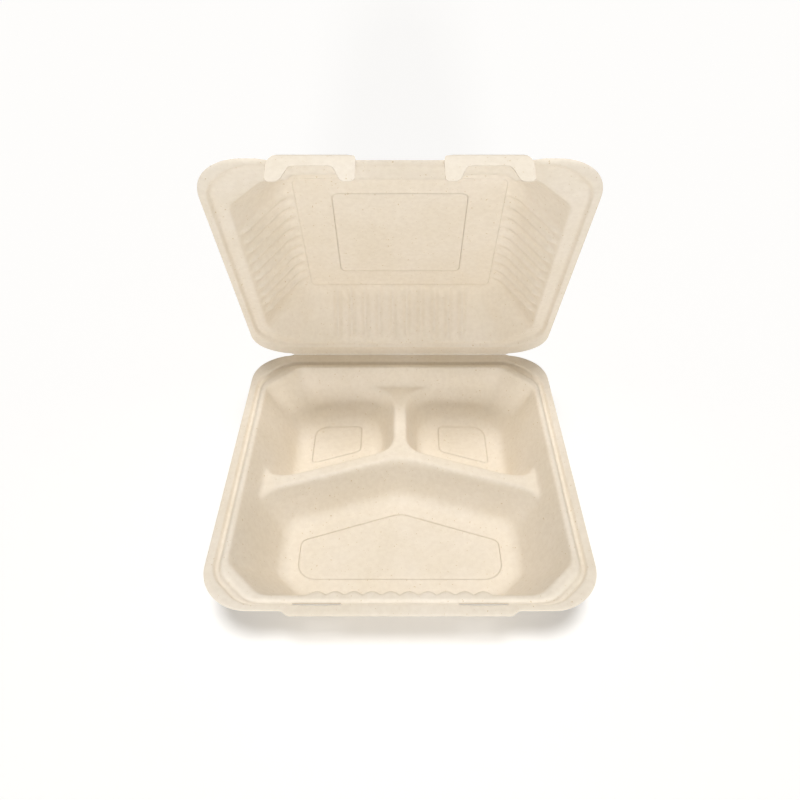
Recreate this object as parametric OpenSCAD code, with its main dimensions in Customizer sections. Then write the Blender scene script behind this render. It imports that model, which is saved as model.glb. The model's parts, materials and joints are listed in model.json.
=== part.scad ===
// Takeaway box pressed from plant fibre: a tray with three compartments and a lid on a
// folded hinge, with two locking tabs on the lid. The lid stands part open.
// Up is +Z, the front is -Y, and the hinge runs along X behind the tray.
// A plan line below is [direction of its outward normal, distance from the origin].

/* [Whole box] */
// Width of the rim, side to side
box_w = 230; // [215:1:250]
// Depth of the rim, from the hinge to the front
box_d = 230; // [220:1:250]
// Radius of the rim's corners in plan
corner_r = 30; // [24:1:36]
// Thickness of the pressed fibre
board = 0.8; // [0.6:0.1:1]
// Space between the lid and the tray where they face each other
closing_gap = 0.3; // [0.2:0.05:0.5]
// Angle of the lid, from closed
lid_angle = 64.8; // [45:0.1:100]

/* [Tray] */
// Height of the tray's rim above the surface it stands on
tray_h = 44; // [40:1:50]
// Slope of the side walls, from upright
side_draft = 29; // [25:1:31]
// Slope of the front wall, from upright
front_draft = 31; // [27:1:33]
// Slope of the hinge wall, from upright
rear_draft = 19; // [15:1:22]
// Slope of the walls across the front corners, from upright
cut_draft = 36; // [32:1:38]
// Slope of the walls across the rear corners, from upright
rear_cut_draft = 27; // [24:1:30]
// Radius between the walls and the floors
floor_r = 10; // [6:1:12]
// Width of the rim at the sides
rim_side = 13.5; // [12:0.5:16]
// Width of the rim at the front
rim_front = 9.8; // [9:0.2:12]
// Width of the rim at the hinge
rim_rear = 18.5; // [15:0.5:20]
// Length of the walls that cut the opening's corners, along each side
cut_leg = 22; // [16:1:25]
// Radius at each end of those walls
cut_r = 10; // [6:1:14]

/* [Tray rim section] */
// Width of the groove behind the lip
groove_w = 4; // [3:0.5:4.5]
// Width of the groove at the front
front_groove_w = 1.5; // [1.4:0.1:2]
// Depth of the groove
groove_d = 1.2; // [0.8:0.1:1.4]
// Width of the raised bead round the opening
bead_w = 4.5; // [4:0.1:5]
// Height of the bead
bead_h = 1; // [0.6:0.1:1.3]
// Drop over the rounded edge from the bead to the wall
edge_drop = 1.2; // [1:0.1:2]

/* [Dividers] */
// Drop from the rim to the top of the dividers
divider_drop = 14; // [10:1:17]
// Width of the dividers' flat top
divider_w = 8.5; // [7:0.5:11]
// Slope of the dividers' walls, from upright
divider_draft = 20; // [16:1:22]
// Radius of the dividers' shoulders
shoulder_r = 3; // [2.5:0.25:4]
// Distance from the hinge to the point where the dividers meet
junction_from_hinge = 95; // [88:1:102]
// Slope of the two side arms towards the front, in plan
arm_angle = 19.2; // [14:0.2:23]
// Width of the step where the compartments start below the rim wall
ledge = 0.6; // [0.4:0.1:1]
// Plan radius of the front compartment's peak
peak_r = 80; // [40:5:90]
// Plan radius of the rear compartments where the dividers meet
junction_r = 20; // [12:1:22]
// Plan radius of the other compartment corners
well_r = 14; // [8:1:16]

/* [Floor panels] */
// Height of the raised panels
panel_rise = 1; // [0.6:0.1:1.4]
// Panel edge to the side wall's foot
panel_side = 11; // [9:0.5:14]
// Panel edge to the front wall's foot
panel_front = 14; // [11:0.5:18]
// Panel edge to the hinge wall's foot
panel_rear = 6.5; // [5.5:0.5:9]
// Panel edge to the divider's foot
panel_divider = 15.5; // [12:0.5:18]
// Rear panel edge to the side arm's foot
panel_arm = 22; // [16:1:24]
// Corner radius of the panels
panel_r = 6; // [4:0.5:8]

/* [Front lock] */
// Reach of the tray's front tongue past the rim
tongue_out = 3; // [2:0.5:5]
// Half the width of the tongue at its edge
tongue_half = 62; // [56:1:66]
// Slant of each end of the tongue
tongue_slant = 5; // [3:1:8]
// Length of each slit in the front lip
slit_l = 28; // [22:1:30]
// Width of each slit
slit_w = 1; // [0.8:0.1:1.4]
// Distance from the middle of the box to the middle of each slit and tab
lock_x = 47; // [42:1:50]
// Width of each tab
tab_w = 47; // [40:1:50]
// Length of each tab from its fold
tab_l = 18.5; // [14:0.5:22]
// Space between a tab and the tongue when the box is closed
tab_gap = 0.7; // [0.5:0.1:1.2]
// Width of the tab's notch at its top
notch_top = 22; // [16:1:26]
// Width of the notch at its open end
notch_end = 31; // [27:1:36]
// Band left between the notch and the fold
tab_band = 8; // [6:0.5:10]
// Radius of the tab's shoulders
tab_shoulder_r = 7; // [4:0.5:8]
// Radius of the tab's other corners
tab_r = 2.5; // [1.5:0.5:3]
// Reach of the lid's lock pocket behind each tab
pocket_out = 4; // [2:0.5:5]
// Width of the pocket at its edge
pocket_w = 24; // [18:1:28]

/* [Lid] */
// Height of the lid above the rim
lid_h = 36; // [32:1:42]
// Slope of the lid's side walls, from upright
lid_side_draft = 37; // [32:1:39]
// Slope of the lid's front wall, from upright
lid_front_draft = 39; // [34:1:41]
// Slope of the lid's hinge wall, from upright
lid_rear_draft = 38; // [33:1:40]
// Slope of the lid's walls across the corners, from upright
lid_cut_draft = 43; // [39:1:45]
// Radius between the lid's walls and its top
lid_top_r = 15; // [10:1:17]
// Width of the lid's rim at the sides
lid_rim_side = 14; // [13:0.5:16]
// Width of the lid's rim at the front
lid_rim_front = 19; // [15:0.5:20]
// Width of the lid's rim at the hinge
lid_rim_rear = 15; // [14.5:0.5:18]
// Length of the walls that cut the lid opening's corners
lid_cut_leg = 23; // [18:1:26]
// Width of the lid's raised panel
lid_panel_w = 88; // [70:1:96]
// Depth of the lid's raised panel
lid_panel_d = 90; // [70:1:94]
// Corner radius of the lid's panel
lid_panel_r = 7; // [5:0.5:10]

/* [Flutes] */
// Number of flutes in a wall
flute_count = 10; // [7:1:10]
// Spacing of the tray's flutes
tray_flute_pitch = 10.5; // [8:0.5:11]
// Spacing of the lid's flutes
lid_flute_pitch = 10.8; // [8:0.2:11]
// Height of the tray's flutes
tray_flute_h = 1.5; // [0.8:0.1:1.8]
// Height of the lid's flutes
lid_flute_h = 1.8; // [1:0.1:2.2]
// Shift of the lid's side flutes towards the hinge
lid_flute_shift = 5; // [0:1:6]

/* [Hidden] */

fibre = "#E6D9C2";
arc_step = 15;
diagonal = sqrt(2);
half_w = box_w / 2;
half_d = box_d / 2;
half_gap = closing_gap / 2;
rear_edge = half_d - half_gap;
lip_z = tray_h - half_gap;
deck_z = tray_h - divider_drop;
// A round corner is two arcs with a short flat between them
corner_flat = 0.5;
corner_leg = corner_r * (2 - diagonal) + corner_flat;
panel_leg = lid_panel_r * (2 - diagonal) + corner_flat;
smallest_r = 1.5;
// Most of a wall's straight part that its marks may fill
straight_use = 0.97;

// Lip widths, so that each rim adds up to its own width
lip_side = rim_side - groove_w - bead_w;
lip_front = rim_front - front_groove_w - bead_w;
lip_rear = rim_rear - groove_w - bead_w;

// Space between the bead and the lid's channel over it
channel_gap = 0.6;
channel_h = bead_h + channel_gap;
// The lid's lip ends over the middle of the tray's groove
lid_lip_side = lip_side + groove_w / 2;
lid_lip_front = lip_front + front_groove_w / 2;
lid_lip_rear = lip_rear + groove_w / 2;
lid_step_w = 1.2;
lid_edge_h = 1;

// Share of a value between two others
function mix(a, b, share) = a + (b - a) * share;

// Point where two plan lines meet
function meet(a, b) =
    let (turn = sin(b[0] - a[0]))
    [(a[1] * sin(b[0]) - b[1] * sin(a[0])) / turn,
     (b[1] * cos(a[0]) - a[1] * cos(b[0])) / turn];

// Round corner from one plan line to the next
function round_turn(a, b, r) =
    let (centre = meet([a[0], a[1] - r], [b[0], b[1] - r]))
    let (turn = b[0] - a[0])
    let (steps = ceil(turn / arc_step))
    [for (i = [0:steps])
        let (angle = a[0] + turn * i / steps)
        centre + r * [cos(angle), sin(angle)]];

// Points along a wall at its marks; a mark is [place along the wall, share of the lift].
// Where the straight part between the corners is too short, the marks close up to fit.
function marked(line, marks, lift, straight) =
    let (out = [cos(line[0]), sin(line[0])])
    let (along = [-out[1], out[0]])
    let (places = [for (mark = marks) mark[0]])
    let (fit = len(marks) == 0 ? 1
             : min(1, straight_use * straight[0] / min(places),
                   straight_use * straight[1] / max(places)))
    [for (mark = marks) (line[1] - mark[1] * lift) * out + mark[0] * fit * along];

// Closed outline at height z from plan lines, corner radii and the marks on each wall
function ring(lines, radii, marks, lifts, z) =
    let (count = len(lines))
    let (r = [for (radius = radii) max(radius, smallest_r)])
    let (next = [for (i = [1:count]) i < count ? lines[i] : lines[0] + [360, 0]])
    let (centres = [for (i = [0:count - 1])
        meet([lines[i][0], lines[i][1] - r[i]], [next[i][0], next[i][1] - r[i]])])
    [for (i = [0:count - 1])
        let (along = [-sin(lines[i][0]), cos(lines[i][0])])
        let (straight = [centres[(i + count - 1) % count] * along, centres[i] * along])
        each [for (p = concat(marked(lines[i], marks[i], lifts[i], straight),
                              round_turn(lines[i], next[i], r[i])))
            [p[0], p[1], z]]];

// Skin through a stack of closed rings, from the downward cap to the upward one; each cap
// is a fan round its own middle
module loft(rings) {
    count = len(rings[0]);
    last = len(rings) - 1;
    low_middle = len(rings) * count;
    walls = [for (k = [0:last - 1], i = [0:count - 1])
        let (a = k * count + i)
        let (b = k * count + (i + 1) % count)
        each [[a, a + count, b + count], [a, b + count, b]]];
    caps = [for (i = [0:count - 1])
        let (j = (i + 1) % count)
        each [[low_middle, i, j],
              [low_middle + 1, last * count + j, last * count + i]]];
    polyhedron(concat([for (r = rings) each r], [middle(rings[0]), middle(rings[last])]),
               concat(walls, caps));
}
function middle(points) =
    [for (axis = [0:2])
        let (places = [for (p = points) p[axis]])
        (min(places) + max(places)) / 2];

// Polygon with each corner rounded to its own radius
function rounded(points, radii) =
    let (count = len(points))
    [for (i = [0:count - 1])
        let (b = points[i])
        let (u = unit(points[(i + count - 1) % count] - b))
        let (v = unit(points[(i + 1) % count] - b))
        let (half = acos(u * v) / 2)
        let (centre = b + unit(u + v) * radii[i] / sin(half))
        let (start = b + u * radii[i] / tan(half) - centre)
        let (sweep = (180 - 2 * half) * (cross(u, v) > 0 ? -1 : 1))
        let (steps = ceil((180 - 2 * half) / arc_step))
        each [for (k = [0:steps]) centre + turned(start, sweep * k / steps)]];
function unit(v) = v / norm(v);
function turned(p, a) = [p[0] * cos(a) - p[1] * sin(a), p[0] * sin(a) + p[1] * cos(a)];

// Shift of a sloped wall where it curves onto a flat floor, at height h over the floor
function foot_shift(draft, h, r) =
    h >= r * (1 - sin(draft)) ? 0
    : r * (sin(acos(1 - h / r)) - tan((90 - draft) / 2)) - h * tan(draft);

// The same for a wall that curves over a flat top, at drop e; above the top it runs on.
// A shoulder is drawn at two drops, as shares of its radius.
first_drop = 0.25;
deep_drop = 0.7;
function shoulder_shift(draft, e, r) =
    e >= 0 ? -foot_shift(draft, e, r)
    : -foot_shift(draft, 0, r)
      - e * (foot_shift(draft, first_drop * r, r) - foot_shift(draft, 0, r)) / (first_drop * r);

// Ridges in a row along a wall, each a crest between two valleys
function flute_marks(pitch, shift) =
    [for (i = [0:2 * flute_count])
        [(i / 2 - flute_count / 2) * pitch + shift, i % 2]];

// Plan lines of the four sides and the four cut corners, counterclockwise from the front:
// front, corner, right, corner, hinge, corner, left, corner
side_angles = [270, 315, 360, 405, 450, 495, 540, 585];
function side_lines(front, side, rear, front_leg, rear_leg) =
    let (front_cut = (front + side - front_leg) / diagonal)
    let (rear_cut = (rear + side - rear_leg) / diagonal)
    let (reach = [front, front_cut, side, rear_cut, rear, rear_cut, side, front_cut])
    [for (i = [0:7]) [side_angles[i], reach[i]]];

// Lines moved in by each wall's slope over a depth, and where they curve onto a flat
function sloped(lines, drafts, depth, total, r, move) =
    [for (i = [0:len(lines) - 1])
        [lines[i][0],
         lines[i][1] + move - tan(drafts[i]) * depth + foot_shift(drafts[i], total - depth, r)]];

// Offset of each point of a section polyline to its outer side, for a skin of one thickness
function skin_offset(points, thickness) =
    let (last = len(points) - 1)
    [for (i = [0:last])
        let (before = i > 0 ? unit(points[i] - points[i - 1]) : [1, 0])
        let (after = i < last ? unit(points[i + 1] - points[i]) : [1, 0])
        let (n = unit([-(before[1] + after[1]), before[0] + after[0]]))
        thickness / (n * [-before[1], before[0]]) * n];

// Tray rim stations: shares of lip, groove and bead, depth down the wall, height, flute share
tray_stations = [
    [0, 0, 0, 0, 0, 0],
    [1, 0, 0, 0, 0, 0],
    [1, 0.3, 0, 0, -groove_d, 0],
    [1, 0.7, 0, 0, -groove_d, 0],
    [1, 1, 0.3, 0, 0.7 * bead_h, 0],
    [1, 1, 0.5, 0, bead_h, 0],
    [1, 1, 0.8, 0, 0.6 * bead_h, 0.4],
    [1, 1, 1, edge_drop, -edge_drop, 0.8],
    [1, 1, 1, divider_drop, -divider_drop, 1]];
tray_drafts = [front_draft, cut_draft, side_draft, rear_cut_draft, rear_draft,
               rear_cut_draft, side_draft, cut_draft];
tray_opening = side_lines(half_d - rim_front, half_w - rim_side, rear_edge - rim_rear,
                          cut_leg, cut_leg);
tray_marks = [flute_marks(tray_flute_pitch, 0), [], [], [], [], [], [], []];

function tray_inset(s, lip, groove) = s[0] * lip + s[1] * groove + s[2] * bead_w;

// Ring of the tray's rim or upper wall at one station, moved by the skin's offset
function tray_ring(s, offset) =
    let (in_side = tray_inset(s, lip_side, groove_w))
    let (share = in_side / rim_side)
    let (leg = mix(corner_leg, cut_leg, share))
    let (lines = side_lines(half_d - tray_inset(s, lip_front, front_groove_w),
                            half_w - in_side,
                            rear_edge - tray_inset(s, lip_rear, groove_w), leg, leg))
    ring([for (i = [0:7]) [lines[i][0], lines[i][1] - offset[0] - tan(tray_drafts[i]) * s[3]]],
         [for (i = [0:7]) mix(corner_r, cut_r, share) - offset[0]],
         tray_marks, [for (i = [0:7]) s[5] * tray_flute_h], lip_z + s[4] + offset[1]);

// Rim and upper walls down to the level of the dividers, with the deck between them
module upper_tray() {
    section = [for (s = tray_stations)
        [tray_inset(s, lip_side, groove_w) + tan(side_draft) * s[3], s[4]]];
    under = skin_offset(section, -board);
    last = len(tray_stations) - 1;
    loft(concat(
        [for (k = [last:-1:0]) tray_ring(tray_stations[k], under[k])],
        [for (s = tray_stations) tray_ring(s, [0, 0])]));
}

// Compartment walls: normal, distance at the rim, slope, corner radius, divider, marks
divider_reach = tan(divider_draft) * divider_drop - divider_w / 2;
junction_y = half_d - junction_from_hinge;
arm_reach = cos(arm_angle) * junction_y;
front_well = [
    [side_angles[0], tray_opening[0][1], front_draft, cut_r, 0, tray_marks[0]],
    [side_angles[1], tray_opening[1][1], cut_draft, cut_r, 0, []],
    [side_angles[2], tray_opening[2][1], side_draft, well_r, 0, []],
    [side_angles[4] - arm_angle, arm_reach + divider_reach, divider_draft, peak_r, 1, []],
    [side_angles[4] + arm_angle, arm_reach + divider_reach, divider_draft, well_r, 1, []],
    [side_angles[6], tray_opening[6][1], side_draft, cut_r, 0, []],
    [side_angles[7], tray_opening[7][1], cut_draft, cut_r, 0, []]];
rear_well = [
    [side_angles[0] - arm_angle, divider_reach - arm_reach, divider_draft, well_r, 1, []],
    [side_angles[2], tray_opening[2][1], side_draft, cut_r, 0, []],
    [side_angles[3], tray_opening[3][1], rear_cut_draft, cut_r, 0, []],
    [side_angles[4], tray_opening[4][1], rear_draft, well_r, 0, []],
    [side_angles[6], divider_reach, divider_draft, junction_r, 1, []]];

// Shift of a compartment wall at height z; grow is 0 for the inside and board for the outside
function well_shift(wall, z, grow) =
    foot_shift(wall[2], z - board + grow, floor_r + grow)
    + (wall[4] == 1 ? shoulder_shift(wall[2], deck_z - grow - z, shoulder_r - grow) : -ledge);

function well_ring(walls, z, grow, flute_share) =
    let (lines = [for (w = walls)
        [w[0], w[1] + grow / cos(w[2]) - tan(w[2]) * (lip_z - z) + well_shift(w, z, grow)]])
    let (radii = [for (i = [0:len(walls) - 1])
        walls[i][3] + grow + well_shift(walls[i], z, grow)])
    ring(lines, radii, [for (w = walls) w[5]],
         [for (w = walls) flute_share * tray_flute_h], z);

// Solid of a compartment, from its floor to just past the deck
module well(walls, grow) {
    foot = board - grow;
    r = floor_r + grow;
    q = shoulder_r - grow;
    top = deck_z - grow;
    // Turn up from the floor, and share of the flutes' height there
    turns = [[0, 0], [22, 0.2], [42, 0.6], [58, 1]];
    // Drops from the deck as shares of the shoulder's radius
    drops = [deep_drop, first_drop];
    // Rise through the deck
    past = board / 2;
    loft(concat(
        [for (t = turns) well_ring(walls, foot + r * (1 - cos(t[0])), grow, t[1])],
        [for (d = drops) well_ring(walls, top - d * q, grow, 1)],
        [well_ring(walls, top + past, grow, 1)]));
}

// Outline of a raised panel, set in from the feet of the walls round it
function panel_outline(walls, margins, extra) =
    let (lines = [for (i = [0:len(walls) - 1])
        [walls[i][0],
         walls[i][1] - tan(walls[i][2]) * (lip_z - board) - margins[i] - extra]])
    let (count = len(lines))
    [for (p = ring(lines, [for (i = [0:count - 1]) panel_r - extra],
                   [for (i = [0:count - 1]) []], [for (i = [0:count - 1]) 0], 0))
        [p[0], p[1]]];

front_margins = [panel_front, panel_side, panel_side, panel_divider, panel_divider,
                 panel_side, panel_side];
rear_margins = [panel_arm, panel_side, panel_rear, panel_rear, panel_divider];

// Raised panel in a floor, with its hollow underneath
module panel_top(walls, margins) {
    linear_extrude(board + panel_rise) polygon(panel_outline(walls, margins, 0));
}
module panel_hollow(walls, margins) {
    translate([0, 0, -board])
        linear_extrude(board + panel_rise) polygon(panel_outline(walls, margins, board));
}

module both_sides() {
    children();
    mirror([1, 0, 0]) children();
}

// Tongue on the front lip
module tongue() {
    edge = half_d + tongue_out;
    root = half_d - lip_front / 2;
    base_half = tongue_half + tongue_slant;
    translate([0, 0, lip_z - board])
        linear_extrude(board)
            polygon([[-base_half, -root], [-base_half, -half_d], [-tongue_half, -edge],
                     [tongue_half, -edge], [base_half, -half_d], [base_half, -root]]);
}

// Slit for the lid's tab, along the front groove
module slit() {
    y = half_d - lip_front - front_groove_w / 2;
    // Cutter that passes the groove above and below
    tall = tray_h;
    translate([lock_x - slit_l / 2, -y - slit_w / 2, lip_z - tall / 2])
        cube([slit_l, slit_w, tall]);
}

// Tray in one piece: rim, walls, dividers, floors with their panels, tongue and slits
module tray() {
    difference() {
        union() {
            difference() {
                union() {
                    upper_tray();
                    well(front_well, board);
                    both_sides() well(rear_well, board);
                }
                well(front_well, 0);
                both_sides() well(rear_well, 0);
            }
            panel_top(front_well, front_margins);
            both_sides() panel_top(rear_well, rear_margins);
            tongue();
        }
        panel_hollow(front_well, front_margins);
        both_sides() panel_hollow(rear_well, rear_margins);
        both_sides() slit();
    }
}

// Share of the lid's height at which its flutes are whole
flute_start = 0.3;
// Share of the pocket's depth left there
pocket_fade = 0.6;
// Turn of the lid's walls where they start to curve onto its top
lid_fillet_start = 52;
// Lid stations from the edge in: lip, step and channel shares, height up the wall, height,
// flute share and pocket share
lid_fillet = [lid_fillet_start, 34, 17, 0];
lid_stations = concat(
    [[0, 0, 0, 0, 0, 0, 0],
     [1, 0, 0, 0, 0, 0, 0],
     [1, 1, 0, 0, channel_h, 0, 0],
     [1, 1, 0.9, 0, channel_h, 0, 1],
     [1, 1, 1, lid_edge_h, channel_h + lid_edge_h, 0.2, 1],
     [1, 1, 1, flute_start * lid_h, channel_h + flute_start * lid_h, 1, pocket_fade]],
    [for (t = lid_fillet)
        let (h = lid_h - channel_h - lid_top_r * (1 - cos(t)))
        [1, 1, 1, h, channel_h + h, t / lid_fillet_start, 0]]);
lid_drafts = [lid_front_draft, lid_cut_draft, lid_side_draft, lid_cut_draft, lid_rear_draft,
              lid_cut_draft, lid_side_draft, lid_cut_draft];
// Each pocket runs out over a slant at both ends
pocket_slant = 5;
pocket_marks = [for (side = [-1, 1], end = [-1, 1], land = end < 0 ? [0, 1] : [1, 0])
    [side * lock_x + end * (pocket_w / 2 + (1 - land) * pocket_slant), -land]];
lid_marks = [pocket_marks, [], flute_marks(lid_flute_pitch, lid_flute_shift), [],
             flute_marks(lid_flute_pitch, 0), [],
             flute_marks(lid_flute_pitch, -lid_flute_shift), []];

function lid_inset(s, lip, rim) =
    s[0] * lip + s[1] * lid_step_w + s[2] * (rim - lip - lid_step_w);

// Ring of the lid at one station, moved by the skin's offset
function lid_ring(s, offset) =
    let (in_side = lid_inset(s, lid_lip_side, lid_rim_side))
    let (share = in_side / lid_rim_side)
    let (leg = mix(corner_leg, lid_cut_leg, share))
    let (lines = side_lines(half_d - lid_inset(s, lid_lip_front, lid_rim_front),
                            half_w - in_side,
                            rear_edge - lid_inset(s, lid_lip_rear, lid_rim_rear), leg, leg))
    ring(sloped(lines, lid_drafts, s[3], lid_h - channel_h, lid_top_r, -offset[0]),
         [for (i = [0:7]) mix(corner_r, cut_r, share) - offset[0]],
         lid_marks, [for (i = [0:7]) i == 0 ? s[6] * pocket_out : s[5] * lid_flute_h],
         half_gap + s[4] + offset[1]);

// Ring round the lid's raised panel
function lid_panel_ring(grow, h) =
    let (half = [lid_panel_w / 2 + grow, lid_panel_d / 2 + grow])
    ring(side_lines(half[1], half[0], half[1], panel_leg, panel_leg),
         [for (i = [0:7]) lid_panel_r], lid_marks, [for (i = [0:7]) 0], half_gap + h);

// Skins of the lid as it lies closed, over the rim plane, from the inner panel out and back
lid_section = [for (s = lid_stations)
    [lid_inset(s, lid_lip_side, lid_rim_side) + tan(lid_side_draft) * s[3]
     - foot_shift(lid_side_draft, lid_h - channel_h - s[3], lid_top_r), s[4]]];
lid_over = skin_offset(lid_section, board);
lid_last = len(lid_stations) - 1;
lid_rings = concat(
    [lid_panel_ring(0, lid_h - panel_rise), lid_panel_ring(panel_rise, lid_h)],
    [for (k = [lid_last:-1:0]) lid_ring(lid_stations[k], [0, 0])],
    [for (k = [0:lid_last]) lid_ring(lid_stations[k], lid_over[k])],
    [lid_panel_ring(panel_rise - board, lid_h + board),
     lid_panel_ring(-board, lid_h - panel_rise + board)]);

// Tab as cut and folded: a band with a leg at each end of its notch, down from the lid's rim
tab_y = half_d + tongue_out + tab_gap;
module tab() {
    half = tab_w / 2;
    shape = rounded(
        [[-half, 0], [half, 0], [half, -tab_l], [notch_end / 2, -tab_l],
         [notch_top / 2, -tab_band], [-notch_top / 2, -tab_band],
         [-notch_end / 2, -tab_l], [-half, -tab_l]],
        [tab_shoulder_r / 2, tab_shoulder_r, tab_r, tab_r, tab_r, tab_r, tab_r, tab_r]);
    translate([lock_x, -tab_y, board + half_gap])
        rotate([90, 0, 0]) linear_extrude(board) polygon(shape);
    // Band of the lid's lip that carries the tab out to its fold
    reach = tab_y - half_d + lid_lip_front / 2;
    band_w = tab_w - 2 * tab_shoulder_r;
    translate([lock_x - band_w / 2, -tab_y - board / 2, half_gap])
        cube([band_w, reach + board / 2, board]);
}

// The part's origin is under the middle of its whole extent, with the lid as it stands open
lid_reach = max([for (r = lid_rings, p = r)
    half_d + (p[1] - half_d) * cos(lid_angle) + p[2] * sin(lid_angle)]);
middle_y = (lid_reach - half_d - tongue_out) / 2;
module centred() {
    translate([0, -middle_y, 0]) children();
}

module base() {
    color(fibre) centred() tray();
}

module lid() {
    color(fibre)
        centred()
            translate([0, half_d, tray_h])
                rotate([-lid_angle, 0, 0])
                    translate([0, -half_d, 0])
                        union() {
                            loft(lid_rings);
                            both_sides() tab();
                        }
}

base();
lid();
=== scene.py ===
# %% [markdown]
# # A clamshell box of moulded plant fibre
# The box is a tray with three compartments and a lid, pressed in one go from wet sugar cane
# fibre between two heated moulds. It has no separate parts: walls, dividers, ribs and the two
# locking tabs are all the same sheet, 0.8 mm thick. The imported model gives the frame, so this
# script only dresses it: one sheet for the tray, one for the lid.

# %% Load the frame
import json
import math
import bmesh
import bpy
from mathutils import Matrix, Vector, noise


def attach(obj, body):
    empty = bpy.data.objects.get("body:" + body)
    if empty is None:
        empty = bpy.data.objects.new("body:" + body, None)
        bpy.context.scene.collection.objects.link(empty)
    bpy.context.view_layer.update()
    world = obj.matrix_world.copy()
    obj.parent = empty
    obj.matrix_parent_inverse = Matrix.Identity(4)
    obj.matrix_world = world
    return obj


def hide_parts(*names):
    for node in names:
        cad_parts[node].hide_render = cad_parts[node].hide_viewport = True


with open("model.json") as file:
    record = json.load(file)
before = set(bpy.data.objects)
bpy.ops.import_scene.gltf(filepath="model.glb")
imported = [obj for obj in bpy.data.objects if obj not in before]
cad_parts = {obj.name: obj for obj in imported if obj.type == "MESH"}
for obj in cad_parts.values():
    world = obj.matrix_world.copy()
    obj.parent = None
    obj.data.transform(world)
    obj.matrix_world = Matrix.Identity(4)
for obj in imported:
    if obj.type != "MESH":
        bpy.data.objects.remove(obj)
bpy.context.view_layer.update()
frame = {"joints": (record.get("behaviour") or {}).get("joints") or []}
hinge = Vector(frame["joints"][0]["pos_m"]) * 1000
print("hinge line at", [round(c, 2) for c in hinge], "mm")

# %% [markdown]
# ## Sizes
# All sizes are in millimetres. The plan of the box is worked out on the tray as it lies: X to
# the right, Y to the hinge, with the middle of the rim at zero. These are the sizes that the
# solids have, so the sheets lie in them. Pulp dries a little unevenly, so each sheet strays
# by up to 0.3 mm.

# %% Sizes of the box
BOARD = 0.8
HALF_WIDTH = 115.0
FRONT = 115.0
REAR = 114.85
RIM_PLANE = 43.85
LID_START = 0.15
LID_OPEN = 64.8
CORNER_RADIUS = 30.0
CUT_RADIUS = 10.0
FLUTES = 10
TAB_X = 47.0
HINGE_FADE = (95, 112)
UNEVEN = 0.3
UNEVEN_SIZE = 24
NEARLY_NONE = 0.001
print("rim", 2 * HALF_WIDTH, "mm wide, board", BOARD, "mm thick")

# %% [markdown]
# ## Rounding, as a mould does it
# Two walls of a mould meet in a smooth corner. `smooth_max` joins two heights with a soft
# valley between them, and `settle` lets a sloped wall run out onto a flat through a true arc.
# With these two, a whole pressed sheet can be written as one height over its plan.

# %% Rounding helpers
def smooth_max(a, b, blend):
    overlap = max(blend - abs(a - b), 0) / blend
    return max(a, b) + overlap * overlap * blend / 4


def smooth_min(a, b, blend):
    return -smooth_max(-a, -b, blend)


def ease(value, start, end):
    share = min(max((value - start) / (end - start), 0), 1)
    return share * share * (3 - 2 * share)


def mix(a, b, share):
    return a + (b - a) * share


def settle(height, slope, radius):
    """Height over a flat of a wall at slope degrees from upright, with a rounded foot."""
    if height >= radius * (1 - math.sin(math.radians(slope))):
        return height
    tangent = radius * math.tan(math.radians(90 - slope) / 2)
    across = tangent + height * math.tan(math.radians(slope))
    return radius - math.sqrt(radius ** 2 - across ** 2) if across > 0 else 0.0


def unevenness(x, y, layer):
    """How far the dried sheet has moved towards its inner side at a point."""
    return UNEVEN * (0.5 + 0.5 * noise.noise(Vector((x, y, layer)) / UNEVEN_SIZE))


print("a 29 degree wall meets the floor", round(settle(0, 29, 10), 2), "mm up")

# %% [markdown]
# ## Walls
# Each wall is a plane: the way it faces in plan, how far out it stands at the rim, and its
# slope. The corners of the opening are cut at 45 degrees, so a tray has eight walls.

# %% Walls
SLOPE_BLEND = 3


def wall(angle, reach, slope):
    return (math.cos(math.radians(angle)), math.sin(math.radians(angle)), reach, slope,
            math.tan(math.radians(slope)))


def eight_walls(front, side, rear, leg, slopes):
    front_cut = (front + side - leg) / math.sqrt(2)
    rear_cut = (rear + side - leg) / math.sqrt(2)
    reach = (front, front_cut, side, rear_cut, rear, rear_cut, side, front_cut)
    angles = (270, 315, 0, 45, 90, 135, 180, 225)
    return [wall(*row) for row in zip(angles, reach, slopes)]


def rise(face, x, y, inward=0.0):
    """Height of a wall over its own line at the rim; inside the opening it is below zero."""
    return (x * face[0] + y * face[1] - face[2] + inward) / face[4]


def highest(heights, walls, blend):
    """Joined height of several walls, and the slope of the wall that counts most there."""
    top = max(heights)
    near = sorted(h for h in heights if top - h < blend)
    joined = near[0]
    for h in near[1:]:
        joined = smooth_max(joined, h, blend)
    shares = [math.exp((h - top) / SLOPE_BLEND) for h in heights]
    slope = sum(s * w[3] for s, w in zip(shares, walls)) / sum(shares)
    return joined, slope


def flute(place, pitch, narrow=1.0):
    """One row of ridges along a wall, from 0 in a valley to 1 on a crest."""
    turn = place / pitch + FLUTES / 2
    if not 0 < turn < FLUTES:
        return 0.0
    return (0.5 - 0.5 * math.cos(2 * math.pi * turn)) ** narrow


print("a wall at 29 degrees leaves the rim", round(wall(0, 0, 29)[4], 3), "mm in for each mm down")

# %% [markdown]
# ## The tray's heights
# The floors lie 43 mm under the rim. Two side arms and a spine stand between the three
# compartments, with flat tops 14 mm under the rim. A compartment's divider wall is highest where
# two of its planes cross, and the lowest of the three compartments is the one a point is in.
# The divider is joined to the outer walls before its top is cut flat, which gives the arms and
# the spine their flared ends. The blends are lengths of height, so a steep wall needs a large one.

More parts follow.
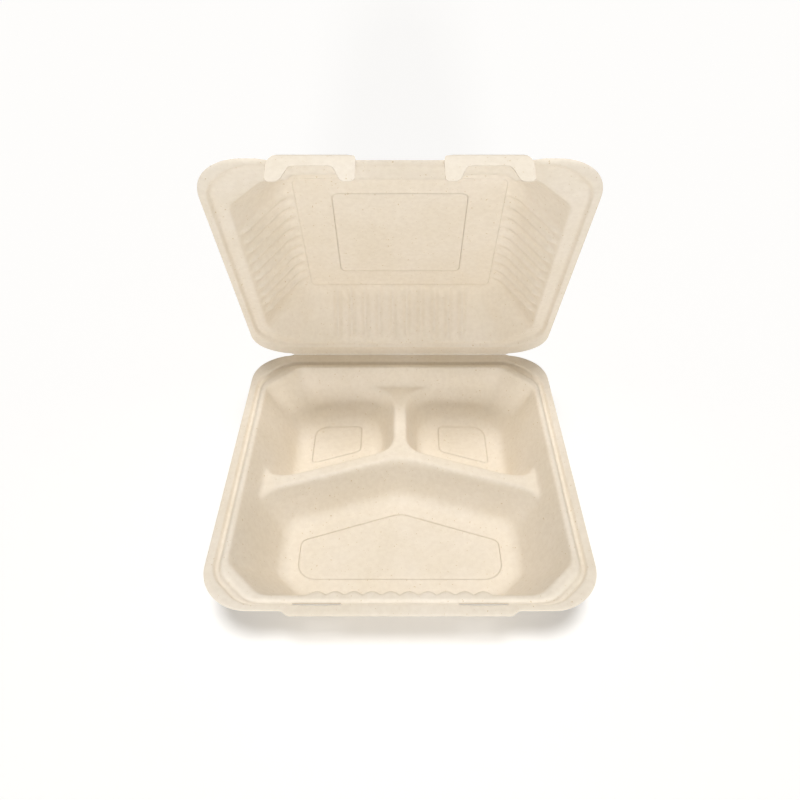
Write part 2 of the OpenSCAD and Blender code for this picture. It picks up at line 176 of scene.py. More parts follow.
# %% Tray walls and dividers
TRAY_FLOOR = -RIM_PLANE + BOARD + 0.06
DECK = -13.85
DECK_HALF = 4.25
DECK_EDGE = 2
DECK_JOIN = 3
DECK_NEAR = 10
SHARP = 0.01
SLOPE_SHIFT = 6
TOP_DEPTH = 14
ARM_ANGLE = 19.2
ARM_MEET = 20
ARM_REACH = math.cos(math.radians(ARM_ANGLE)) * ARM_MEET
DIVIDER_SLOPE = 20
DIVIDER_EDGE = math.tan(math.radians(DIVIDER_SLOPE)) * TOP_DEPTH - DECK_HALF
WALL_BLEND = 7
PEAK_BLEND = 20
JUNCTION_BLEND = 37
FRONT_BLEND = 26
REAR_BLEND = 48
SPINE_BLEND = 80
SPINE_REACH = (22, 45)
FLOOR_RADIUS = 10
PANEL_LIFT = 0.8
PANEL_EDGE = 1.3
PANEL_CORNER = 4
BUMP_PITCH = 10.5
BUMP_DEPTH = 2.6
BUMP_ROUND = 0.45
BUMP_FADE = (24, 42)
tray_walls = eight_walls(front=105.2, side=101.5, rear=96.35, leg=22,
                         slopes=(31, 36, 29, 27, 19, 27, 29, 36))
arm_front = wall(90 - ARM_ANGLE, ARM_REACH + DIVIDER_EDGE, DIVIDER_SLOPE)
arm_rear = wall(270 - ARM_ANGLE, DIVIDER_EDGE - ARM_REACH, DIVIDER_SLOPE)
spine = wall(180, DIVIDER_EDGE, DIVIDER_SLOPE)


def divider_height(x, y):
    """Height of the dividers' walls, and how softly they join the outer walls."""
    x = abs(x)
    front = smooth_max(rise(arm_front, x, y), rise(arm_front, -x, y), PEAK_BLEND)
    rear = smooth_max(rise(arm_rear, x, y), rise(spine, x, y), JUNCTION_BLEND)
    return (front, FRONT_BLEND) if front < rear else (rear, REAR_BLEND)


def panel_inside(x, y, lines, floor):
    """How far a point lies inside a panel, from the walls' feet and the margins to them."""
    inside = 99.0
    for face, margin in lines:
        foot = face[2] + face[4] * floor
        inside = smooth_min(inside, foot - margin - x * face[0] - y * face[1], PANEL_CORNER)
    return inside


# Each line of a panel is the wall that it follows, and the margin to that wall's foot.
arm_front_left = wall(90 + ARM_ANGLE, ARM_REACH + DIVIDER_EDGE, DIVIDER_SLOPE)
front_panel = [(tray_walls[0], 14), (tray_walls[1], 11), (tray_walls[2], 11), (arm_front, 15.5),
               (arm_front_left, 15.5), (tray_walls[6], 11), (tray_walls[7], 11)]
rear_panel = [(arm_rear, 22), (tray_walls[2], 11), (tray_walls[3], 6.5), (tray_walls[4], 6.5),
              (spine, 15.5)]


def tray_panel(x, y):
    """How far a point lies inside the floor panel of its own compartment."""
    if divider_height(x, y)[1] == FRONT_BLEND:
        return panel_inside(x, y, front_panel, TRAY_FLOOR)
    return panel_inside(abs(x), y, rear_panel, TRAY_FLOOR)


def tray_height(x, y):
    """Height of the tray's upper face over the rim plane."""
    depth = -rise(tray_walls[0], x, y)
    ridge = BUMP_DEPTH * flute(x, BUMP_PITCH, BUMP_ROUND) * (1 - ease(depth, *BUMP_FADE))
    heights = [rise(face, x, y, ridge if i == 0 else 0) for i, face in enumerate(tray_walls)]
    outer, slope = highest(heights, tray_walls, WALL_BLEND)
    divider, blend = divider_height(x, y)
    if blend == REAR_BLEND:
        blend = mix(REAR_BLEND, SPINE_BLEND, 1 - ease(abs(x), *SPINE_REACH))
    joined = smooth_max(outer, divider, blend)
    decked = DECK - settle(DECK - joined, DIVIDER_SLOPE, DECK_EDGE)
    near_deck = ease(divider, DECK - DECK_NEAR, DECK)
    height = smooth_max(outer, decked, SHARP + DECK_JOIN * near_deck)
    slope = mix(slope, DIVIDER_SLOPE, ease(divider - outer, -SLOPE_SHIFT, SLOPE_SHIFT))
    over_floor = settle(height - TRAY_FLOOR, slope, FLOOR_RADIUS)
    if over_floor < 1:
        over_floor += PANEL_LIFT * ease(tray_panel(x, y), -PANEL_EDGE, PANEL_EDGE)
    return TRAY_FLOOR + over_floor


print("tray floor at", round(tray_height(0, -60), 2), "and deck at", round(tray_height(0, 60), 2))

# %% [markdown]
# ## A grid that follows the rim
# A pressed sheet needs neat rows of faces along its rim, where the lip, groove and bead run
# round the corners, and an even mesh inside. So a plain grid is made first. Its outer rings are
# then pulled in at the corners, each ring on its own rounded or cut corner, and the corners fade
# out towards the middle.

# %% Grid that follows the rim
def places(near, far, middle_count):
    """Grid lines from one rim across to the other: near and far are distances from the edge."""
    start, end = near[-1], far[-1]
    step = (end - start) / middle_count
    return near + [start + step * (n + 1) for n in range(middle_count - 1)] + far[::-1]


def corner_point(share, leg, radius):
    """Point on half of a cut corner: along the side it leaves, and in from that side."""
    arc = radius * math.pi / 4
    cut = leg * math.sqrt(2) - 2 * radius * math.tan(math.pi / 8)
    way = share * (arc + cut / 2)
    turn = min(way / radius, math.pi / 4)
    on = max(way - arc, 0) * math.sqrt(0.5)
    return radius * math.sin(turn) + on, radius * (1 - math.cos(turn)) + on


def rim_grid(columns, rows, corners):
    """A grid whose vertices stand on the rings; returns it with each vertex's ring and row."""
    across, along = len(columns) - 1, len(rows) - 1
    bm = bmesh.new()
    bmesh.ops.create_grid(bm, x_segments=across, y_segments=along, size=0.5)
    ring_of = bm.verts.layers.int.new("ring")
    row_of = bm.verts.layers.int.new("row")
    for v in bm.verts:
        i, j = round((v.co.x + 0.5) * across), round((v.co.y + 0.5) * along)
        ring = min(i, across - i, j, along - j)
        v[ring_of], v[row_of] = ring, j
        x, y = columns[i], rows[j]
        if ring < len(corners) and corners[ring][0] > 0:
            leg, radius = corners[ring]
            size = leg + radius * math.tan(math.pi / 8)
            side = columns[across - ring]
            end = rows[ring] if y < 0 else rows[along - ring]
            from_side, from_end = side - abs(x), abs(end) - abs(y)
            if from_side < size and from_end < NEARLY_NONE:
                on, back = corner_point(1 - from_side / size, leg, radius)
                x, y = math.copysign(side - size + on, x), math.copysign(abs(end) - back, y)
            elif from_end < size and from_side < NEARLY_NONE:
                on, back = corner_point(1 - from_end / size, leg, radius)
                x, y = math.copysign(side - back, x), math.copysign(abs(end) - size + on, y)
        v.co = (x, y, 0)
    return bm, ring_of, row_of


print("a cut corner starts", [round(c, 2) for c in corner_point(0, 22, 10)], "and is half done at",
      [round(c, 2) for c in corner_point(1, 22, 10)])

# %% [markdown]
# ## Rings of the tray's rim
# From the edge in, the rim is a flat lip, a groove that catches the lid, and a raised bead that
# rolls over into the wall. Each ring says how much of the lip, groove and bead lies outside it,
# and its height. The rims differ in width at the sides, front and hinge, so the shares are
# turned into distances for each, from the widths of its lip, groove and bead.

# %% Rings of the tray
TRAY_RINGS = [(0, 0, 0, -0.3), (0.1, 0, 0, -0.08), (0.3, 0, 0, 0), (0.5, 0, 0, 0), (0.7, 0, 0, 0),
              (0.9, 0, 0, 0), (1, 0, 0, -0.3), (1, 0.15, 0, -1.6), (1, 0.36, 0, -2.2),
              (1, 0.64, 0, -2.2), (1, 0.85, 0, -1.4), (1, 1, 0, -0.3), (1, 1, 0.13, 0.5),
              (1, 1, 0.27, 0.9), (1, 1, 0.4, 1), (1, 1, 0.53, 1), (1, 1, 0.65, 1), (1, 1, 0.77, 1),
              (1, 1, 0.88, 1), (1, 1, 1, 1)]
WALL_RINGS = [0.8, 1.8, 3, 4.4, 5.8, 7.2, 8.6, 10, 11.4, 12.8, 14.2, 15.6, 17, 18.4, 19.8, 21.1]


def distances(edge, rings, widths, extra):
    """Distances from the middle of the box out to each ring, for one side of it."""
    rim = [edge - sum(s * w for s, w in zip(ring, widths)) for ring in rings]
    return rim + [rim[-1] - more for more in extra]


tray_side = distances(HALF_WIDTH, TRAY_RINGS, (5, 4, 4.5), WALL_RINGS)
tray_front = distances(FRONT, TRAY_RINGS, (3.8, 1.5, 4.5), WALL_RINGS)
tray_rear = distances(REAR, TRAY_RINGS, (10, 4, 4.5), WALL_RINGS)

EDGE_LEG = CORNER_RADIUS * (2 - math.sqrt(2))
CORNER_FADE = 60
CORNER_RINGS = 70


def corner_sizes(lines, rim, leg_rim):
    """Corner leg and radius of each ring: round at the edge, cut at the rim, none inside."""
    sizes = []
    for line in lines[:CORNER_RINGS]:
        depth = line + HALF_WIDTH
        if depth <= rim:
            share = depth / rim
            sizes.append((mix(EDGE_LEG, leg_rim, share), mix(CORNER_RADIUS, CUT_RADIUS, share)))
        else:
            left = 1 - (depth - rim) / CORNER_FADE
            sizes.append((leg_rim * max(left, 0), CUT_RADIUS * max(left, 0.01)))
    return sizes


MIDDLE = 146
tray_columns = places([-d for d in tray_side], tray_side, MIDDLE)
tray_rows = places([-d for d in tray_front], tray_rear, MIDDLE)
tray_corners = corner_sizes(tray_columns, rim=13.5, leg_rim=22)
print("tray grid", len(tray_columns), "by", len(tray_rows))

# %% [markdown]
# ## Press the tray
# Every vertex takes its height from the walls and the rim. Then the front lip is drawn out into
# the tongue, and the two slits that take the lid's tabs are opened in the front groove, gently
# bowed as a knife in the press leaves them, with their edges turned down. The groove is shallow
# along the front, so the slits can be seen. Beyond the ends of the hinge the rear edge is drawn
# in, so only the crease joins tray and lid. The sheet gets its thickness last.

# %% Press the tray
SLIT_ROWS = (7, 10)
SLIT_HALF = 14
SLIT_BOW = 0.5
SLIT_GAP = 0.45
SLIT_LIP = 1.1
SLIT_ENDS = 3
NECK_DEPTH = 1.2
NECK_X = (85.5, 88.5)
NECK_Y = (99, 111)
CRISP = math.radians(50)
LIP_ROWS = 7
GROOVE_ROWS = range(6, 12)
GROOVE_SHARE = 0.3
GROOVE_X = (76, 90)
RIM_BLEND = 1.6
EVEN_RINGS = (20, 30)
MARK_REACH = 20
TONGUE_REACH = 3
TONGUE_X = (62, 67)


def open_slits(bm, row_of):
    """Takes out the faces between the slit's two rows, on both sides."""
    slit = [f for f in bm.faces if all(SLIT_ROWS[0] <= v[row_of] <= SLIT_ROWS[1] for v in f.verts)
            and abs(abs(f.calc_center_median().x) - TAB_X) < SLIT_HALF]
    bmesh.ops.delete(bm, geom=slit, context="FACES")
    return len(slit)


def neck(bm):
    """Draws the rear edge in beyond the ends of the crease, so that the crease has a neck."""
    for v in bm.verts:
        v.co.y -= NECK_DEPTH * ease(abs(v.co.x), *NECK_X) * ease(v.co.y, *NECK_Y)


def turn_down(bm, row_of):
    """Turns the slits' cut edges down, as the knife does when it goes through the damp board."""
    rim = [e for e in bm.edges if e.is_boundary and all(
        SLIT_ROWS[0] <= v[row_of] <= SLIT_ROWS[1]
        and abs(abs(v.co.x) - TAB_X) < SLIT_HALF + SLIT_ENDS for v in e.verts)]
    made = bmesh.ops.extrude_edge_only(bm, edges=rim)["geom"]
    lips = [v for v in made if isinstance(v, bmesh.types.BMVert)]
    bmesh.ops.translate(bm, vec=(0, 0, -SLIT_LIP), verts=lips)
    return len(lips)


def thicken(bm, thickness):
    """Gives the sheet its board, away from its face side, and marks the cut edges as crisp."""
    bmesh.ops.solidify(bm, geom=bm.faces[:], thickness=thickness)
    for f in bm.faces:
        f.smooth = True
    for e in bm.edges:
        e.smooth = e.calc_face_angle(0.0) < CRISP


def mark_lines(bm, name, inside):
    """Keeps each vertex's distance to a pressed line on the mesh, for the material to draw."""
    layer = bm.verts.layers.float.new(name)
    for v in bm.verts:
        v[layer] = min(max(inside(v.co.x, v.co.y), -MARK_REACH), MARK_REACH)


def piece(name, bm, matrix):
    """Turns a bmesh in millimetres into an object at the origin, in metres."""
    bmesh.ops.transform(bm, matrix=Matrix.Scale(0.001, 4) @ matrix, verts=bm.verts)
    mesh = bpy.data.meshes.new(name)
    bm.to_mesh(mesh)
    bm.free()
    made = bpy.data.objects.new(name, mesh)
    bpy.context.scene.collection.objects.link(made)
    triangles = sum(len(p.vertices) - 2 for p in mesh.polygons)
    print(name, "has", len(mesh.polygons), "faces,", triangles, "triangles")
    return made


bm, ring_of, row_of = rim_grid(tray_columns, tray_rows, tray_corners)
for v in bm.verts:
    rim_level = TRAY_RINGS[min(v[ring_of], len(TRAY_RINGS) - 1)][3]
    if v[ring_of] < 2:
        rim_level *= 1 - ease(v.co.y, *HINGE_FADE)
    if v[row_of] in GROOVE_ROWS:
        rim_level *= mix(GROOVE_SHARE, 1, ease(abs(v.co.x), *GROOVE_X))
    v.co.z = smooth_min(rim_level, tray_height(v.co.x, v.co.y), RIM_BLEND)
    v.co.z += unevenness(v.co.x, v.co.y, 0) * ease(v[ring_of], *EVEN_RINGS)
for v in bm.verts:
    lip_share = TRAY_RINGS[v[row_of]][0] if v[row_of] < LIP_ROWS else 1
    tongue = 1 - ease(abs(v.co.x), *TONGUE_X)
    v.co.y -= TONGUE_REACH * tongue * (1 - lip_share)
    if v[row_of] in GROOVE_ROWS:
        along = abs(abs(v.co.x) - TAB_X) / (SLIT_HALF + 2)
        bow = math.cos(math.radians(min(along, 1) * 90))
        v.co.y += (SLIT_GAP * ease(v[row_of], 8, 9) - SLIT_BOW) * bow
neck(bm)
print("slit faces taken out:", open_slits(bm, row_of))
print("slit points turned down:", turn_down(bm, row_of))
mark_lines(bm, "panel_mm", tray_panel)
thicken(bm, BOARD)
tray = piece("tray", bm, Matrix.Translation((0, hinge.y - FRONT, RIM_PLANE)))

# %% [markdown]
# ## The lid's heights
# The lid is a shallower dish, worked out as it lies closed. Its lip rests over the tray's
# groove, steps up over the bead, and its walls lean well in so that boxes nest. Ribs stiffen
# the side walls and the hinge wall. The front wall has a pocket behind each tab. The flat of the
# top is set off by a fine line, and a square panel is pressed in the middle of it.

# %% Lid walls
LID_HEIGHT = 35.5
CHANNEL = 2.6
LID_BLEND = 5
TOP_RADIUS = 15
RIB_PITCH = 10.8
RIB_DEPTH = 3.4
RIB_START = 10
POCKET_DEPTH = 4
POCKET_X = (12, 17)
POCKET_FADE = (0, 26)
FLAT_STEP = 0.3
FLAT_EDGE = 1.2
SQUARE_STEP = 0.9
FLAT_HALF = 68
FLAT_REAR = 65
FLAT_FRONT = 59
FLAT_CORNER = 6
SQUARE_HALF = (44, 45)
SQUARE_CORNER = 5
lid_walls = eight_walls(front=96, side=101, rear=99.2, leg=23,
                        slopes=(39, 43, 37, 43, 38, 43, 37, 43))


def lid_flat(x, y):
    """How far a point lies inside the flat of the lid's top."""
    return smooth_min(FLAT_HALF - abs(x), min(FLAT_REAR - y, y + FLAT_FRONT), FLAT_CORNER)


def lid_panel(x, y):
    """How far a point lies inside the raised square panel of the top."""
    half_x, half_y = SQUARE_HALF
    return smooth_min(half_x - abs(x), half_y - abs(y), SQUARE_CORNER)


def lid_height(x, y):
    """Height of the lid's inner face over the rim plane, with the lid closed."""
    up = [-rise(face, x, y) for face in lid_walls]
    lift = [0.0] * 8
    pocket = 1 - ease(abs(abs(x) - TAB_X), *POCKET_X)
    lift[0] = -POCKET_DEPTH * pocket * (1 - ease(up[0], *POCKET_FADE))
    rib_up = ease(min(up[2], up[6]), 0, RIB_START)
    lift[2] = lift[6] = RIB_DEPTH * flute(y - 5, RIB_PITCH, 1.4) * rib_up
    lift[4] = RIB_DEPTH * flute(x, RIB_PITCH, 2.0) * ease(up[4], 0, RIB_START)
    heights = [rise(face, x, y, lift[i]) for i, face in enumerate(lid_walls)]
    down, slope = highest(heights, lid_walls, LID_BLEND)
    under_top = settle(LID_HEIGHT - CHANNEL + down, slope, TOP_RADIUS)
    flat = FLAT_STEP * ease(lid_flat(x, y), -FLAT_EDGE, FLAT_EDGE)
    square = SQUARE_STEP * ease(lid_panel(x, y), -PANEL_EDGE, PANEL_EDGE)
    return LID_HEIGHT - under_top - flat - square


print("lid's inner face at", round(lid_height(0, 0), 2), "mm over the rim when closed")

# %% [markdown]
# ## Rings of the lid's rim
# The lid's rim is a flat lip, a step up over the tray's bead, and a level band that runs into
# the wall. Its rings are set as the tray's are.

# %% Rings of the lid
LID_RINGS = [(0, 0, 0, 0.25), (0.08, 0, 0, 0.05), (0.25, 0, 0, 0), (0.45, 0, 0, 0),
             (0.65, 0, 0, 0), (0.85, 0, 0, 0), (1, 0, 0, 0.15), (1, 0.3, 0, 0.75),
             (1, 0.65, 0, 1.75), (1, 1, 0, 2.4), (1, 1, 0.14, 2.6), (1, 1, 0.3, 2.6),
             (1, 1, 0.48, 2.6), (1, 1, 0.66, 2.6), (1, 1, 0.84, 2.6), (1, 1, 1, 2.6)]
LID_WALL_RINGS = [0.6, 1.4, 2.6, 4, 5.4, 6.8, 8.2, 9.6, 11, 12.4, 13.8, 15.2, 16.6, 18, 19.4, 20.8]
lid_side = distances(HALF_WIDTH, LID_RINGS, (4.4, 1.8, 7.8), LID_WALL_RINGS)
lid_front = distances(FRONT, LID_RINGS, (3.6, 2.6, 12.8), LID_WALL_RINGS)
lid_rear = distances(REAR, LID_RINGS, (12, 1.2, 1.8), LID_WALL_RINGS)
lid_columns = places([-d for d in lid_side], lid_side, MIDDLE + 4)
lid_rows = places([-d for d in lid_front], lid_rear, MIDDLE + 4)
lid_corners = corner_sizes(lid_columns, rim=14, leg_rim=23)
print("lid grid", len(lid_columns), "by", len(lid_rows))

# %% [markdown]
# ## The locking tabs
# The tabs are part of the lid's sheet. They leave its front lip, fold over and hang down in
# front of it, with a notch that leaves a leg at each end. So the lip's own edge is extruded row
# by row: out to the fold, round it, and down. Each row is then spread to the tab's outline.

# %% Locking tabs
TAB_HALF = 23.5
NOTCH_SHARES = (0, 0.28, 0.72, 1)
ALMOST = 0.01
LEVEL = 1e-6
TAB_ROOT = 16.6
NOTCH_HALF = 11
NOTCH_FLARE = 4.5
NOTCH_ROUND = 2.5
INNER_ROUND = 3.5
OUTER_ROUND = 7
TAB_LENGTH = 18.5
NOTCH_START = 8.0
TAB_FACE = -118.7
TAB_TOP = 0.8
TAB_ROW = 999
TAB_ROWS = [(-115.9, 0, TAB_ROOT), (-117, 0, 16.8), (-118.2, 0, 17.4), (-118.55, -0.15, 18.6)]
TAB_DEPTHS = [1.4, 2.2, 3.2, 4.4, 5.8, 7, 7.6, 8, 8.4, 9, 9.8, 11, 12.5, 14, 15.5, 16.6, 17.3,
              17.9, 18.3, 18.5]


def rounding(left, radius):
    """How far a rounded corner has pulled an edge in, at a distance left from its end."""
    if left >= radius:
        return 0.0
    return radius - math.sqrt(radius ** 2 - (radius - left) ** 2)


def tab_edges(depth):
    """Inner edge, both edges of the notch and outer edge of the tab at one depth."""
    end = rounding(TAB_LENGTH - depth, NOTCH_ROUND)
    inner = -TAB_HALF + rounding(depth, INNER_ROUND) + end
    outer = TAB_HALF - rounding(depth, OUTER_ROUND) - end
    flared = max(depth - NOTCH_START, 0) / (TAB_LENGTH - NOTCH_START)
    notch = NOTCH_HALF + NOTCH_FLARE * flared
    if depth >= NOTCH_START:
        notch += end - rounding(depth - NOTCH_START, NOTCH_ROUND)
    return inner, -notch, notch, outer


def spread(share, edges):
    """Place along the tab for a share of its row, with the notch in the middle shares."""
    for k in range(3):
        start, end = NOTCH_SHARES[k:k + 2]
        if share <= end:
            return mix(edges[k], edges[k + 1], (share - start) / (end - start))
    return edges[3]


def grow_tab(bm, row_of, side):
    """Extrudes one tab from the lid's front edge and cuts its notch; returns its faces."""
    edges = [e for e in bm.edges if e.is_boundary and all(
        v[row_of] == 0 and abs(side * v.co.x - TAB_X) < TAB_ROOT for v in e.verts)]
    first = sorted({v for e in edges for v in e.verts}, key=lambda v: side * v.co.x)
    lo, hi = side * first[0].co.x, side * first[-1].co.x
    shares = [(side * v.co.x - lo) / (hi - lo) for v in first]
    rows = [(y, z, (-half, -half / 2, half / 2, half)) for y, z, half in TAB_ROWS]
    rows += [(TAB_FACE, TAB_TOP - depth, tab_edges(depth)) for depth in TAB_DEPTHS]
    for y, z, limits in rows:
        made = bmesh.ops.extrude_edge_only(bm, edges=edges)["geom"]
        edges = [g for g in made if isinstance(g, bmesh.types.BMEdge)]
        edges = [e for e in edges if e.is_boundary and all(v in made for v in e.verts)]
        fresh = sorted((g for g in made if isinstance(g, bmesh.types.BMVert)),
                       key=lambda v: side * v.co.x)
        flat = limits[1] == -limits[3] / 2
        for v, share in zip(fresh, shares):
            local = mix(limits[0], limits[3], share) if flat else spread(share, limits)
            v.co = (side * (TAB_X + local), y, z)
            v[row_of] = TAB_ROW
        edges = [e for e in edges if abs(e.verts[0].co.y - e.verts[1].co.y) < LEVEL
                 and abs(e.verts[0].co.z - e.verts[1].co.z) < LEVEL]
    notch = []
    for f in bm.faces:
        c = f.calc_center_median()
        depth = TAB_TOP - c.z
        if c.y < TAB_FACE + ALMOST and depth > NOTCH_START and side * c.x > 0:
            if abs(side * c.x - TAB_X) < tab_edges(depth)[2] - ALMOST:
                notch.append(f)
    bmesh.ops.delete(bm, geom=notch, context="FACES")
    return len(rows) * (len(first) - 1) - len(notch)


print("notch", round(2 * tab_edges(TAB_LENGTH - 5)[2], 1), "mm wide, 5 mm above the tab's end")

# %% [markdown]
# ## Press the lid
# The lid's rim is flat out to its edge, but the photo shows the edge rolled up at the two front
# corners. A lift that grows towards the edge does that without a change to the grid. The sheet
# is turned over before the tabs grow, so that its board lies on the outside of the lid.

# %% Press the lid
STEP_RINGS = 10
STEP_BLEND = 1.2
ROLLED = 1.4
ROLLED_X = (70, 78)
ROLLED_Y = (-98, -80)
LID_EVEN_RINGS = (12, 15)
bm, ring_of, row_of = rim_grid(lid_columns, lid_rows, lid_corners)
for v in bm.verts:
    ring = min(v[ring_of], len(LID_RINGS) - 1)
    level = LID_RINGS[ring][3] * (1 - ease(v.co.y, *HINGE_FADE) if ring < 2 else 1)
    body = lid_height(v.co.x, v.co.y) - unevenness(v.co.x, v.co.y, 9) * ease(ring, *LID_EVEN_RINGS)
    v.co.z = level if ring < STEP_RINGS else smooth_max(level, body, STEP_BLEND)
    if ring < STEP_RINGS:
        rolled = ease(abs(v.co.x), *ROLLED_X) * (1 - ease(v.co.y, *ROLLED_Y))
        v.co.z += ROLLED * rolled * (1 - LID_RINGS[ring][0]) ** 2
neck(bm)
mark_lines(bm, "panel_mm", lid_panel)
mark_lines(bm, "flat_mm", lid_flat)
bmesh.ops.reverse_faces(bm, faces=bm.faces[:])
for side in (1, -1):
    print("tab faces:", grow_tab(bm, row_of, side))
thicken(bm, BOARD)
fold = (Matrix.Translation(hinge) @ Matrix.Rotation(math.radians(-LID_OPEN), 4, "X")
        @ Matrix.Translation((0, -FRONT, LID_START)))
lid = piece("lid_shell", bm, fold)

# %% [markdown]
# ## The fold
# The tray and the lid are one sheet, creased along the hinge line. The two sheets above end just
# short of that line so that the lid can turn, and a fine rolled crease lies between them.

# %% Crease at the hinge
CREASE_RADIUS = 0.14
CREASE_LENGTH = 172
bm = bmesh.new()
bmesh.ops.create_cone(bm, segments=12, radius1=CREASE_RADIUS, radius2=CREASE_RADIUS,
                      depth=CREASE_LENGTH, cap_ends=True,
                      matrix=Matrix.Rotation(math.radians(90), 4, "Y"))
for f in bm.faces:
    f.smooth = len(f.verts) == 4
crease = piece("hinge_crease", bm, Matrix.Translation(hinge))

# %% [markdown]
# ## Ride and replace
# The tray rides on the base and stands for its solid, and the lid does so on its own body, so
# it turns about the fold.

# %% Join to the frame
for made, body in ((tray, "base"), (lid, "lid"), (crease, "base")):
    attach(made, body)
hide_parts("base")
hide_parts("lid")

# %% [markdown]
# ## Moulded bagasse pulp
# Sugar cane pulp dries to a warm cream with a soft, slightly waxy sheen. It has slow cloudy
# changes of tone, a scatter of darker fibre specks, and a fine felted grain that only shows in
# raking light. Each noise is scaled from a real size in millimetres. The lines round the panels
# are finer than the mesh, so they are drawn from the distances that were kept on it.

# %% Colours and a node helper
def linear(code):
    """An sRGB hex colour as linear light."""
    parts = [int(code[n:n + 2], 16) / 255 for n in (1, 3, 5)]
    parts = [c / 12.92 if c <= 0.04045 else ((c + 0.055) / 1.055) ** 2.4 for c in parts]
    return (*parts, 1.0)


def add(tree, kind, settings=None, **links):
    """Adds one node, sets its properties and sockets, and links its inputs."""
    node = tree.nodes.new(kind)
    for name, value in (settings or {}).items():
        if hasattr(node, name):
            setattr(node, name, value)
        else:
            node.inputs[name].default_value = value
    for name, source in links.items():
        tree.links.new(source, node.inputs[int(name[1:])])
    return node


def per_mm(size):
    """Noise scale, in turns per metre, for features of that size in millimetres."""
    return 1000 / size


print("cream is", [round(c, 3) for c in linear("#EDE3D2")[:3]], "as linear light")

# %% Bagasse material
def bagasse():
    made = bpy.data.materials.new("moulded_bagasse_pulp")
    made.use_nodes = True
    tree = made.node_tree
    shader = tree.nodes["Principled BSDF"]
    place = add(tree, "ShaderNodeTexCoord").outputs["Object"]
    cloud = add(tree, "ShaderNodeTexNoise", {"Scale": per_mm(34), "Detail": 3.0}, i0=place)
    felt = add(tree, "ShaderNodeTexNoise", {"Scale": per_mm(3.2), "Detail": 4.0}, i0=place)
    speck = add(tree, "ShaderNodeTexNoise", {"Scale": per_mm(1.5), "Detail": 2.0}, i0=place)
    tone = add(tree, "ShaderNodeValToRGB", None, i0=cloud.outputs[0])
    grain = add(tree, "ShaderNodeValToRGB", None, i0=felt.outputs[0])
    mottled = add(tree, "ShaderNodeMix", {"data_type": "RGBA", "blend_type": "MULTIPLY"})
    mottled.inputs[0].default_value = 1.0
    tree.links.new(tone.outputs[0], mottled.inputs[6])
    tree.links.new(grain.outputs[0], mottled.inputs[7])
    spots = add(tree, "ShaderNodeValToRGB", None, i0=speck.outputs[0])
    for ramp, stops in ((tone, ((0.3, "#EDE3D2"), (0.7, "#F1E8DA"))),
                        (grain, ((0.35, "#FAF9F8"), (0.65, "#FFFFFF"))),
                        (spots, ((0.25, "#FFFFFF"), (0.31, "#000000")))):
        for element, (position, colour) in zip(ramp.color_ramp.elements, stops):
            element.position, element.color = position, linear(colour)
    flecked = add(tree, "ShaderNodeMix", {"data_type": "RGBA"})
    flecked.inputs[7].default_value = linear("#D2BF9C")
    tree.links.new(spots.outputs[0], flecked.inputs[0])
    tree.links.new(mottled.outputs[2], flecked.inputs[6])
    tree.links.new(flecked.outputs[2], shader.inputs["Base Color"])
    rough = add(tree, "ShaderNodeMapRange", {"To Min": 0.62, "To Max": 0.78}, i0=felt.outputs[0])
    tree.links.new(rough.outputs[0], shader.inputs["Roughness"])
    fine = add(tree, "ShaderNodeTexNoise", {"Scale": per_mm(0.9), "Detail": 3.0}, i0=place)
    waves = add(tree, "ShaderNodeTexNoise", {"Scale": per_mm(14), "Detail": 2.0}, i0=place)
    swell = add(tree, "ShaderNodeBump", {"Strength": 1.0, "Distance": 0.00025}, i3=waves.outputs[0])
    bump = add(tree, "ShaderNodeBump", {"Strength": 1.0, "Distance": 0.00003}, i3=fine.outputs[0])
    tree.links.new(swell.outputs[0], bump.inputs["Normal"])
    last = bump
    sharp = {"interpolation_type": "SMOOTHSTEP", "From Min": -0.5, "From Max": 0.5}
    for name, depth in (("panel_mm", 0.0008), ("flat_mm", 0.0005)):
        line = add(tree, "ShaderNodeAttribute", {"attribute_name": name})
        step = add(tree, "ShaderNodeMapRange", sharp, i0=line.outputs["Fac"])
        pressed = add(tree, "ShaderNodeBump", {"Strength": 1.0, "Distance": depth},
                      i3=step.outputs[0])
        tree.links.new(last.outputs[0], pressed.inputs["Normal"])
        last = pressed
    tree.links.new(last.outputs[0], shader.inputs["Normal"])
    shader.inputs["Specular IOR Level"].default_value = 0.3
    return made


pulp = bagasse()
for made in (tray, lid, crease):
    made.data.materials.append(pulp)
print("material:", pulp.name)

# %% [markdown]
# ## Floor, light and camera
# The box was shot on white, from the front and 36 degrees above. A soft lamp hangs over it and a
# little to the front. The open lid leans over the tray, out of that lamp's reach, so a second,
# low lamp in front lights its inside. Only the camera and reflections see the floor's glow, and
# for them the sky is brighter than its light is, so the ground is white in the picture and the
# box isn't flooded with light.

# %% Floor and world
FLOOR_TONE = 0.92
FLOOR_GLOW = 0.16
FLOOR_DROP = 0.0002
FLOOR_HALF = 6
SKY_LIGHT = 0.26
SKY_SEEN = 1.0


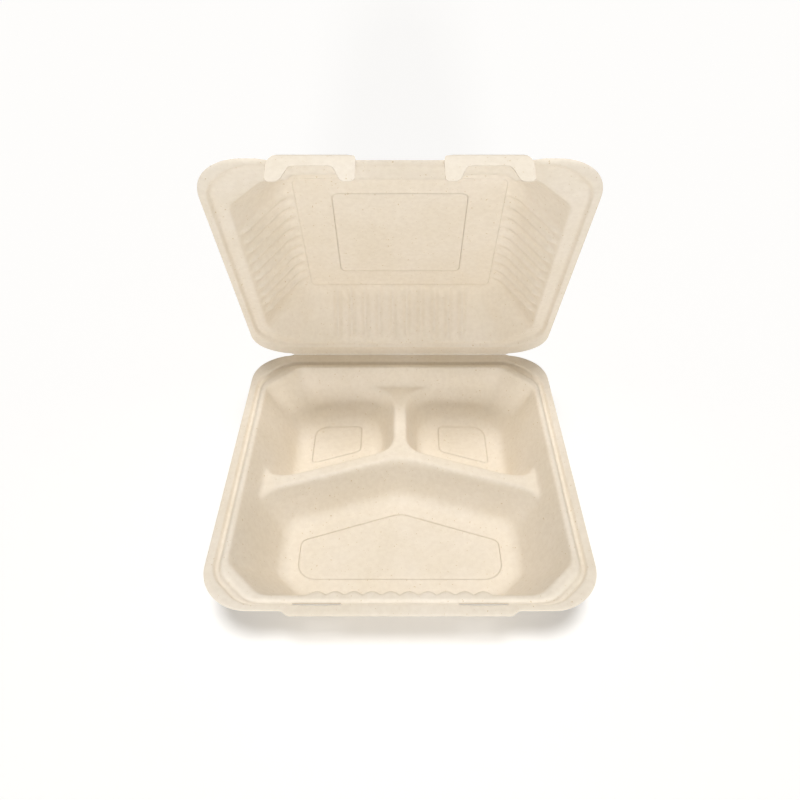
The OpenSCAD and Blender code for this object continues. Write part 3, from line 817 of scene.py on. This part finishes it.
def white_ground():
    made = bpy.data.materials.new("white_sweep")
    made.use_nodes = True
    tree = made.node_tree
    tree.nodes.clear()
    out = add(tree, "ShaderNodeOutputMaterial")
    rays = add(tree, "ShaderNodeLightPath")
    seen = add(tree, "ShaderNodeMath", {"operation": "MAXIMUM"},
               i0=rays.outputs["Is Camera Ray"], i1=rays.outputs["Is Glossy Ray"])
    seen = add(tree, "ShaderNodeMath", {"operation": "MAXIMUM"},
               i0=seen.outputs[0], i1=rays.outputs["Is Transmission Ray"])
    level = add(tree, "ShaderNodeMath", {"operation": "MULTIPLY"}, i0=seen.outputs[0])
    level.inputs[1].default_value = FLOOR_GLOW
    glow = add(tree, "ShaderNodeEmission", {"Color": (1, 1, 1, 1)}, i1=level.outputs[0])
    cloth = add(tree, "ShaderNodeBsdfDiffuse", {"Color": (FLOOR_TONE, FLOOR_TONE, FLOOR_TONE, 1)})
    both = add(tree, "ShaderNodeAddShader", None, i0=glow.outputs[0], i1=cloth.outputs[0])
    tree.links.new(both.outputs[0], out.inputs[0])
    return made


bm = bmesh.new()
bmesh.ops.create_grid(bm, x_segments=1, y_segments=1, size=FLOOR_HALF)
floor_mesh = bpy.data.meshes.new("floor")
bm.to_mesh(floor_mesh)
bm.free()
floor = bpy.data.objects.new("floor", floor_mesh)
bpy.context.scene.collection.objects.link(floor)
floor.location.z = -FLOOR_DROP
floor_mesh.materials.append(white_ground())

world = bpy.data.worlds.new("studio")
bpy.context.scene.world = world
world.use_nodes = True
tree = world.node_tree
rays = add(tree, "ShaderNodeLightPath")
seen = add(tree, "ShaderNodeMath", {"operation": "MAXIMUM"},
           i0=rays.outputs["Is Camera Ray"], i1=rays.outputs["Is Transmission Ray"])
seen = add(tree, "ShaderNodeMath", {"operation": "MAXIMUM"},
           i0=seen.outputs[0], i1=rays.outputs["Is Glossy Ray"])
sky = tree.nodes["Background"]
strength = add(tree, "ShaderNodeMapRange", {"To Min": SKY_LIGHT, "To Max": SKY_SEEN},
               i0=seen.outputs[0])
tree.links.new(strength.outputs[0], sky.inputs["Strength"])
tint = add(tree, "ShaderNodeMix", {"data_type": "RGBA"}, i0=seen.outputs[0])
tint.inputs[6].default_value, tint.inputs[7].default_value = (1, 0.96, 0.9, 1), (1, 1, 1, 1)
tree.links.new(tint.outputs[2], sky.inputs["Color"])
print("floor", 2 * FLOOR_HALF, "m wide under a sky at", SKY_LIGHT)

# %% Lamps
# Name, strength, tilt from straight above towards the front, and width, both in degrees.
LAMPS = [("soft_top_light", 1.95, 15, 16), ("low_front_light", 1.15, 83, 8)]
for name, energy, tilt, spread_angle in LAMPS:
    sun_data = bpy.data.lights.new(name, "SUN")
    sun_data.energy, sun_data.angle = energy, math.radians(spread_angle)
    sun = bpy.data.objects.new(name, sun_data)
    sun.rotation_euler = (math.radians(tilt), 0, 0)
    bpy.context.scene.collection.objects.link(sun)
print("lamps:", [row[0] for row in LAMPS])

# %% Camera
PHOTO_PX = 800
FOCAL_PX = 727.7
SHIFT_PX = -73.4
CAMERA_DOWN = 35.98
CAMERA_PLACE = (0, -0.3545, 0.4087)
SENSOR_MM = 36
camera_data = bpy.data.cameras.new("camera")
camera_data.lens = FOCAL_PX / PHOTO_PX * SENSOR_MM
camera_data.shift_y = SHIFT_PX / PHOTO_PX
camera = bpy.data.objects.new("camera", camera_data)
camera.location = CAMERA_PLACE
camera.rotation_euler = (math.radians(90 - CAMERA_DOWN), 0, 0)
bpy.context.scene.collection.objects.link(camera)
bpy.context.scene.camera = camera
bpy.context.scene.view_settings.view_transform = "Standard"
print("camera looks", CAMERA_DOWN, "degrees down through", round(camera_data.lens, 2), "mm")
